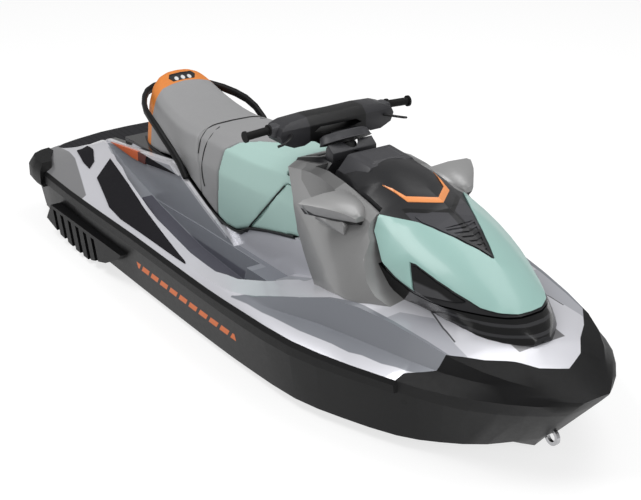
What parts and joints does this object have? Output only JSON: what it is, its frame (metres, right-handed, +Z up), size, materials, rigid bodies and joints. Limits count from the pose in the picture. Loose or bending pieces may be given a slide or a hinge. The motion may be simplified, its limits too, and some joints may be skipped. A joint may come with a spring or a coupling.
{
  "type": "personal watercraft",
  "caption": "Sit-astride jet-drive watercraft with a stepped bench seat, opening hood bin, turning handlebar, steered jet nozzle and swing-down reverse bucket.",
  "frame": {"origin": "on the centre line at the waterline, half way along the gunwale", "axes": "+X towards the bow, +Y to port, +Z up; the waterline is the plane z = 0"},
  "size_m": [3.3972, 1.268, 1.0756],
  "materials": {
    "hull_black": "gloss",
    "deck_silver": "metallic gloss",
    "black_plastic": "satin",
    "mat_black": "matte",
    "liner_grey": "satin",
    "accent_orange": "gloss",
    "hood_mint": "gloss",
    "lamp_smoke": "gloss",
    "fairing_grey": "metallic gloss",
    "bar_steel": "brushed",
    "grip_rubber": "matte",
    "mirror_glass": "polished",
    "seat_grey": "matte",
    "seat_mint": "matte",
    "pump_alloy": "cast",
    "impeller_steel": "polished",
    "engine_iron": "cast",
    "eye_steel": "polished"
  },
  "bodies": {
    "boat": {"hull": "hull_black", "deck": "deck_silver", "rub_rails": "black_plastic", "bow_bumper": "black_plastic", "stern_bumpers": "black_plastic", "platform_mat": "mat_black", "bolster_pads": "mat_black", "foot_mats": "mat_black", "footwell_liners": "liner_grey", "accent_panels": "accent_orange", "vent_panels": "black_plastic", "fascia": "black_plastic", "fairing_port": "fairing_grey", "fairing_starboard": "fairing_grey", "console": "black_plastic", "steering_column": "black_plastic", "gauge": "black_plastic", "mirror_shells": "fairing_grey", "mirror_glasses": "mirror_glass", "mirror_arms": "black_plastic", "seat_passenger": "seat_grey", "seat_driver": "seat_grey", "seat_saddle": "seat_mint", "saddle_trims": "seat_mint", "grab_handle": "black_plastic", "seat_badge": "black_plastic", "sponsons": "black_plastic", "pump_housing": "pump_alloy", "ride_plate": "pump_alloy", "intake_grate": "pump_alloy", "engine_block": "engine_iron", "towing_eyes": "eye_steel", "drain_plugs": "black_plastic"},
    "steering": {"handlebar": "bar_steel", "handlebar_cover": "black_plastic", "grips": "grip_rubber", "levers": "bar_steel"},
    "hood": {"hood": "black_plastic", "hood_cover": "hood_mint", "lamp_inserts": "lamp_smoke", "hood_grille": "black_plastic", "hood_stripe": "accent_orange"},
    "glove_box_lid": {"glove_box_lid": "black_plastic"},
    "jet_nozzle": {"jet_nozzle": "pump_alloy"},
    "reverse_bucket": {"reverse_bucket": "black_plastic"},
    "impeller": {"impeller": "impeller_steel"}
  },
  "joints": [
    {"name": "steering_turn", "type": "hinge", "parent": "boat", "child": "steering", "pos_m": [0.23, 0, 0.745], "axis": [-0.5299, 0, 0.848], "range_deg": [-25, 25]},
    {"name": "hood_hinge", "type": "hinge", "parent": "boat", "child": "hood", "pos_m": [0.329, 0, 0.73], "axis": [0, -1, 0], "range_deg": [0, 50]},
    {"name": "glove_box_hinge", "type": "hinge", "parent": "boat", "child": "glove_box_lid", "pos_m": [0.152, 0, 0.731], "axis": [0, 1, 0], "range_deg": [0, 30]},
    {"name": "nozzle_turn", "type": "hinge", "parent": "boat", "child": "jet_nozzle", "pos_m": [-1.37, 0, 0], "axis": [0, 0, 1], "range_deg": [-20, 20]},
    {"name": "bucket_swing", "type": "hinge", "parent": "boat", "child": "reverse_bucket", "pos_m": [-1.4, 0, 0], "axis": [0, -1, 0], "range_deg": [0, 60]},
    {"name": "impeller_spin", "type": "hinge", "parent": "boat", "child": "impeller", "pos_m": [-1.16, 0, 0], "axis": [1, 0, 0], "continuous": true}
  ],
  "couplings": [
    {"joint": "nozzle_turn", "follows": "steering_turn", "ratio": -0.8}
  ]
}
